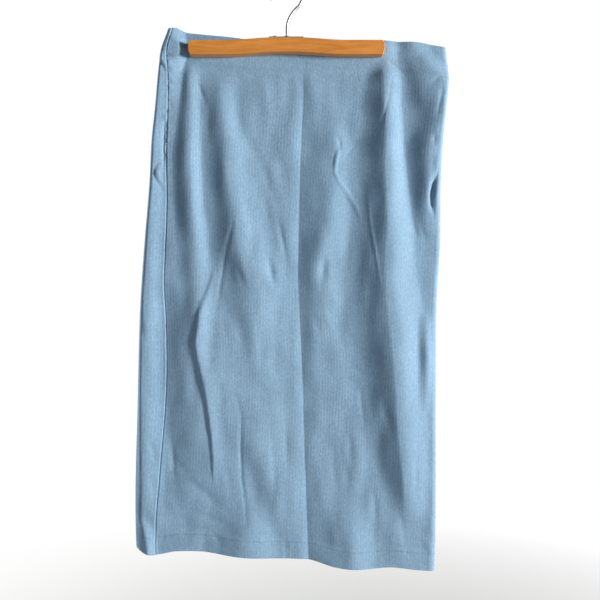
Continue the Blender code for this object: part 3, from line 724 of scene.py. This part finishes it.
def finish_mesh(name, mesh, material):
    """Makes an object of a mesh with its faces turned out, smooth, and riding on the one body."""
    shape = bmesh.new()
    shape.from_mesh(mesh)
    bmesh.ops.recalc_face_normals(shape, faces=shape.faces[:])
    for face in shape.faces:
        face.smooth = True
    shape.to_mesh(mesh)
    shape.free()
    mesh.materials.append(material)
    piece = bpy.data.objects.new(name, mesh)
    bpy.context.scene.collection.objects.link(piece)
    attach(piece, "root")
    return piece


class Graph:
    """Short calls for building a material's nodes."""

    def __init__(self, name):
        self.material = bpy.data.materials.new(name)
        self.material.use_nodes = True
        self.tree = self.material.node_tree
        self.shader = self.tree.nodes["Principled BSDF"]

    def node(self, kind, inputs=(), **settings):
        """A new node with these settings, and with values or links at its inputs."""
        node = self.tree.nodes.new(kind)
        for key, value in settings.items():
            setattr(node, key, value)
        for key, value in dict(inputs).items():
            self.put(value, node.inputs[key])
        return node

    def put(self, value, socket):
        """Links a socket to another, or sets its value."""
        if isinstance(value, bpy.types.NodeSocket):
            self.tree.links.new(value, socket)
        else:
            socket.default_value = value

    def math(self, operation, first, second=0.0):
        """The result of a calculation on one or two values."""
        node = self.node("ShaderNodeMath", {0: first, 1: second}, operation=operation)
        return node.outputs[0]

    def ramp(self, value, low, high, to_low=0.0, to_high=1.0):
        """The value, moved from the range low to high into another range and held at both its ends."""
        inputs = {"Value": value, "From Min": low, "From Max": high, "To Min": to_low, "To Max": to_high}
        return self.node("ShaderNodeMapRange", inputs).outputs[0]

    def mix(self, share, first, second):
        """Mix of two colours; the mix node's colours go in at its sockets 6 and 7 and come out at 2."""
        return self.node("ShaderNodeMix", {0: share, 6: first, 7: second}, data_type="RGBA").outputs[2]

    def noise(self, scale, detail=3.0, stretch=(1, 1, 1), roughness=0.5):
        """Noise in the object's own metres, stretched along its axes."""
        place = self.node("ShaderNodeTexCoord").outputs["Object"]
        mapped = self.node("ShaderNodeMapping", {"Vector": place, "Scale": stretch}).outputs[0]
        inputs = {"Vector": mapped, "Scale": scale, "Detail": detail, "Roughness": roughness}
        return self.node("ShaderNodeTexNoise", inputs).outputs["Fac"]

    def bump(self, height, distance, strength=1.0, normal=None):
        """The surface's direction, as bumps of this height tilt it."""
        inputs = {"Height": height, "Distance": distance, "Strength": strength}
        if normal is not None:
            inputs["Normal"] = normal
        return self.node("ShaderNodeBump", inputs).outputs[0]

    def set(self, **values):
        """Sets the shader's sockets, with underscores for spaces."""
        for key, value in values.items():
            self.put(value, self.shader.inputs[key.replace("_", " ")])


def knit_material():
    """Light blue rib knit: wales of stitches along the ribs, painted shade in the grooves and between the
    loops, and a little fuzz.
    """
    g = Graph("knit")
    place = g.node("ShaderNodeSeparateXYZ", {0: g.node("ShaderNodeUVMap", uv_map="ribs").outputs[0]}).outputs
    rib_place = g.math("FRACT", place[0])
    from_groove = g.math("MULTIPLY", g.math("MINIMUM", rib_place, g.math("SUBTRACT", 1.0, rib_place)), 2.0)
    wale = g.math("FRACT", g.math("MULTIPLY", place[0], WALES_PER_RIB))
    arm = g.math("ABSOLUTE", g.math("SUBTRACT", wale, 0.5))
    along = g.math("MULTIPLY", place[1], STITCHES_PER_MM)
    stitch = g.math("FRACT", g.math("ADD", along, g.math("MULTIPLY", arm, STITCH_SLANT)))
    yarn = g.math("SINE", g.math("MULTIPLY", stitch, math.pi))
    between = g.ramp(arm, 0.34, 0.5, to_low=1.0, to_high=0.25)
    loop_height = g.math("MULTIPLY", yarn, between)

    blotch = g.noise(scale=14, detail=4, stretch=(1, 1, 0.5))
    streak = g.noise(scale=420, stretch=(1, 1, 0.12))
    grain = g.noise(scale=520, detail=2, stretch=(1, 1, 0.6))
    fuzz = g.noise(scale=1900)
    colour = g.mix(g.ramp(blotch, 0.35, 0.65), YARN, YARN_PALER)
    colour = g.mix(g.ramp(streak, 0.3, 0.72, to_high=0.22), colour, YARN_STREAK)
    colour = g.mix(g.ramp(grain, 0.35, 0.65, to_high=0.42), colour, YARN_GRAIN)
    # painted shade: darkens the grooves between the ribs, where little light reaches
    groove_painted_shade = g.ramp(from_groove, 0.0, 0.5, to_low=0.11, to_high=0.0)
    colour = g.mix(groove_painted_shade, colour, YARN_GROOVE_PAINTED_SHADE)
    # painted shade: darkens the cloth between the stitch loops, where the stitch bump is low
    colour = g.mix(g.ramp(loop_height, 0.0, 0.5, to_low=0.16, to_high=0.0), colour, YARN_HOLE_PAINTED_SHADE)
    colour = g.mix(g.ramp(fuzz, 0.6, 0.8, to_high=0.35), colour, YARN_FUZZ)
    normal = g.bump(loop_height, distance=0.00025, strength=0.5)
    normal = g.bump(fuzz, distance=0.0002, strength=0.3, normal=normal)
    g.set(Base_Color=colour, Roughness=0.9, Normal=normal, Sheen_Weight=0.12, Sheen_Roughness=0.5,
          Specular_IOR_Level=0.12, Sheen_Tint=(0.8, 0.9, 1.0, 1))
    return g.material


def wood_material():
    """Warm brown lacquered beech: long grain, short darker flecks and slightly worn tone."""
    g = Graph("wood")
    grain = g.noise(scale=60, detail=5, stretch=(0.35, 3.0, 3.0), roughness=0.6)
    fine = g.noise(scale=420, detail=4, stretch=(0.12, 2.0, 2.0), roughness=0.6)
    fleck = g.noise(scale=900, detail=2, stretch=(0.2, 1.0, 1.0))
    colour = g.mix(g.ramp(grain, 0.35, 0.65), WOOD, WOOD_PALER)
    colour = g.mix(g.ramp(fine, 0.45, 0.7, to_high=0.5), colour, WOOD_GRAIN)
    colour = g.mix(g.ramp(fleck, 0.68, 0.78, to_high=0.7), colour, WOOD_FLECK)
    rough = g.ramp(fine, 0.3, 0.7, to_low=0.38, to_high=0.52)
    normal = g.bump(fine, distance=0.0002, strength=0.25)
    g.set(Base_Color=colour, Roughness=rough, Normal=normal, Coat_Weight=0.15, Coat_Roughness=0.3)
    return g.material


def steel_material():
    """Bright steel wire and plate with a drawn finish."""
    g = Graph("steel")
    drawn = g.noise(scale=700, detail=4, stretch=(1, 1, 0.15))
    patch = g.noise(scale=90)
    colour = g.mix(g.ramp(patch, 0.3, 0.7), STEEL, STEEL_PALER)
    rough = g.ramp(drawn, 0.3, 0.7, to_low=0.32, to_high=0.42)
    normal = g.bump(drawn, distance=0.00005, strength=0.1)
    g.set(Base_Color=colour, Metallic=1.0, Roughness=rough, Normal=normal)
    return g.material


def thread_material():
    """Sewing thread of the same light blue, smoother than the knit and darkened with painted shade of the
    groove that it lies in.
    """
    g = Graph("thread")
    twist = g.noise(scale=2600, detail=2)
    # painted shade: the thread is coloured dark to show the shade of the stitch groove
    colour = g.mix(g.ramp(twist, 0.3, 0.7), THREAD_AND_PAINTED_SHADE, THREAD_PALER_AND_PAINTED_SHADE)
    g.set(Base_Color=colour, Roughness=0.7, Normal=g.bump(twist, distance=0.0001, strength=0.4))
    return g.material


def tube_faces(base, rings, sides):
    """Faces of a closed tube whose rings of points start at this number."""
    faces = []
    for ring in range(rings - 1):
        for side in range(sides):
            a = base + ring * sides + side
            b = base + ring * sides + (side + 1) % sides
            faces.append((a, b, b + sides, a + sides))
    for ring in (0, rings - 1):
        faces.append(tuple(base + ring * sides + side for side in range(sides)))
    return faces


def stitches(name, panel, share, radius, material):
    """A row of short stitches that follows the cloth all along one panel."""
    row = PanelRow(share, panel)
    width = row.end - row.start
    pitch = STITCH_LENGTH + STITCH_GAP
    count = int((width - 2 * STITCH_MARGIN) / pitch)
    steps = np.linspace(0, 1, STITCH_STEPS)
    bulge = np.sin(math.pi * steps)
    upward = np.array((0, 0, 1))
    points, faces = [], []
    for start in STITCH_MARGIN + np.arange(count) * pitch:
        at = (start + steps * STITCH_LENGTH) / width
        height = row.wall(at) - STITCH_SUNK + STITCH_RISE * bulge
        line = row.points(at, height)
        outward = row.points(at, height + 1) - line
        faces += tube_faces(len(points), STITCH_STEPS, STITCH_SIDES)
        for centre, out, share_of_bulge in zip(line, outward, bulge):
            thin = radius * (STITCH_END + (1 - STITCH_END) * share_of_bulge)
            for side in range(STITCH_SIDES):
                turn = 2 * math.pi * side / STITCH_SIDES
                points.append(centre + thin * (math.cos(turn) * out + math.sin(turn) * upward))
    mesh = bpy.data.meshes.new(name)
    mesh.from_pydata([tuple(point * MM) for point in points], [], faces)
    return finish_mesh(name, mesh, material)


def jaw_arch(x):
    """How far a jaw's middle stands above its ends."""
    return JAW_RISE * (1 - smooth_step(np.abs(x), JAW_RISE_START, JAW_RISE_END))


def jaw(name, node, material):
    """A wooden jaw with softly worn edges, in its solid's place."""
    low, high = (np.array(corner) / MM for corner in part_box(node))
    straight = JAW_LENGTH / 2 - JAW_END_BULGE
    arch = np.linspace(-JAW_RISE_END, JAW_RISE_END, JAW_ARCH_POINTS)
    along = np.concatenate(((-straight,), arch, (straight,)))
    bottom = [(x, JAW_TOP - JAW_HEIGHT + jaw_arch(x)) for x in along]
    top = [(x, JAW_TOP + jaw_arch(x)) for x in along[::-1]]
    steps = np.radians(np.linspace(-JAW_END_TURN, JAW_END_TURN, JAW_END_POINTS))

    def end(side):
        """The rounded end at the left (-1) or at the right (1)."""
        centre = JAW_TOP - JAW_HEIGHT / 2
        half = side * JAW_HEIGHT / 2
        return [(side * (straight + JAW_END_BULGE * math.cos(t)), centre + math.sin(t) * half) for t in steps]

    outline = bottom + end(1) + top + end(-1)
    shape = bmesh.new()
    face = shape.faces.new([shape.verts.new((x * MM, low[1] * MM, z * MM)) for x, z in outline])
    pushed = bmesh.ops.extrude_face_region(shape, geom=[face])["geom"]
    moved = [item for item in pushed if isinstance(item, bmesh.types.BMVert)]
    bmesh.ops.translate(shape, verts=moved, vec=(0, (high[1] - low[1]) * MM, 0))
    sharp = [edge for edge in shape.edges if edge.calc_length() > 0
             and len(edge.link_faces) == 2 and edge.calc_face_angle() > math.radians(JAW_SHARP)]
    bmesh.ops.bevel(shape, geom=sharp, offset=JAW_EDGE * MM, segments=4, profile=0.5, affect="EDGES")
    mesh = bpy.data.meshes.new(name)
    shape.to_mesh(mesh)
    shape.free()
    piece = finish_mesh(name, mesh, material)
    piece.modifiers.new("Flat faces", "WEIGHTED_NORMAL")
    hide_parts(node)
    return piece


def hook(material):
    """The smooth wire hook, along the same line as its solid."""
    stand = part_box("hook")[0][2] / MM
    centre = WIRE_RADIUS - HOOK_RADIUS
    angles = np.radians(np.linspace(HOOK_TIP_ANGLE, HOOK_NECK_ANGLE, HOOK_POINTS))
    points = [(HOOK_RADIUS * math.cos(a), centre + HOOK_RADIUS * math.sin(a)) for a in angles]
    turn = math.radians(90 + HOOK_NECK_ANGLE)
    neck_x, neck_z = points[-1]
    radius = neck_x / (1 - math.cos(turn))
    for a in np.linspace(turn, 0, NECK_POINTS)[1:]:
        points.append((radius * (1 - math.cos(a)), neck_z - radius * (math.sin(turn) - math.sin(a))))
    points.append((0, stand))
    curve = bpy.data.curves.new("hook_wire", "CURVE")
    curve.dimensions = "3D"
    curve.bevel_depth = WIRE_RADIUS * MM
    curve.bevel_resolution = 5
    curve.use_fill_caps = True
    spline = curve.splines.new("POLY")
    spline.points.add(len(points) - 1)
    for point, (x, z) in zip(spline.points, points):
        point.co = (x * MM, 0, z * MM, 1)
    curve.materials.append(material)
    piece = bpy.data.objects.new("hook_wire", curve)
    bpy.context.scene.collection.objects.link(piece)
    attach(piece, "root")
    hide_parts("hook")
    return piece


def add_camera():
    """The photograph's camera."""
    camera = bpy.data.cameras.new("camera")
    camera.lens = LENS
    camera.sensor_width = SENSOR
    camera.clip_start = 0.01
    view = bpy.data.objects.new("camera", camera)
    view.location = [value * MM for value in CAMERA]
    view.rotation_euler = (math.radians(90), 0, 0)
    bpy.context.scene.collection.objects.link(view)
    bpy.context.scene.camera = view


def add_lamps():
    """The area lights, each turned to its aim."""
    for name, place, size, spread, power, colour in LAMPS:
        light = bpy.data.lights.new(name, "AREA")
        light.energy = power
        light.size = size
        light.spread = math.radians(spread)
        light.color = colour
        lamp = bpy.data.objects.new(name, light)
        lamp.location = place
        aim = np.array(LAMP_AIM) - np.array(place)
        tilt = math.atan2(math.hypot(aim[0], aim[1]), -aim[2])
        turn = math.atan2(aim[0], -aim[1]) + math.pi
        lamp.rotation_euler = (tilt, 0, turn)
        bpy.context.scene.collection.objects.link(lamp)


def add_surround():
    """A surround that gives a soft light and is seen as plain white."""
    world = bpy.data.worlds.new("surround")
    world.use_nodes = True
    nodes, links = world.node_tree.nodes, world.node_tree.links
    ambient = nodes["Background"]
    ambient.inputs["Color"].default_value = (*SURROUND, 1)
    ambient.inputs["Strength"].default_value = SURROUND_LIGHT
    white = nodes.new("ShaderNodeBackground")
    white.inputs["Color"].default_value = WHITE
    mixer = nodes.new("ShaderNodeMixShader")
    links.new(nodes.new("ShaderNodeLightPath").outputs["Is Camera Ray"], mixer.inputs[0])
    links.new(ambient.outputs[0], mixer.inputs[1])
    links.new(white.outputs[0], mixer.inputs[2])
    links.new(mixer.outputs[0], nodes["World Output"].inputs[0])
    bpy.context.scene.world = world
    bpy.context.scene.view_settings.view_transform = "Standard"


def add_floor():
    """A pale floor that fades into the white surround."""
    bpy.ops.mesh.primitive_plane_add(size=FLOOR_SIZE, location=(0, 0, FLOOR_HEIGHT))
    floor = bpy.context.object
    floor.name = "floor"
    g = Graph("floor")
    place = g.node("ShaderNodeTexCoord").outputs["Object"]
    away = g.node("ShaderNodeVectorMath", {0: place}, operation="LENGTH").outputs["Value"]
    fade = g.ramp(away, *FLOOR_FADE)
    tone = g.mix(g.noise(scale=3), FLOOR, FLOOR_PALER)
    g.set(Base_Color=g.mix(fade, tone, BLACK), Roughness=0.9, Specular_IOR_Level=0.0,
          Emission_Color=WHITE, Emission_Strength=fade)
    floor.data.materials.append(g.material)


knit, wood, steel, thread = knit_material(), wood_material(), steel_material(), thread_material()

jaws = [jaw("jaw_front_wood", "jaw_front", wood), jaw("jaw_back_wood", "jaw_back", wood)]
hook(steel)
for metal in ("clamp_plate", "screw_front", "screw_back", "collar"):
    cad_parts[metal].material_slots[0].material = steel

for side, flat in FLAT_SIZES.items():
    cloth = cloth_panel("knit_" + side, side, knit)
    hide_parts("skirt_" + side)
    for line, share, radius, _, _ in STITCH_LINES:
        piece = stitches(line + "_stitches_" + side, side, share, radius, thread)

add_camera()
add_lamps()
add_surround()
add_floor()
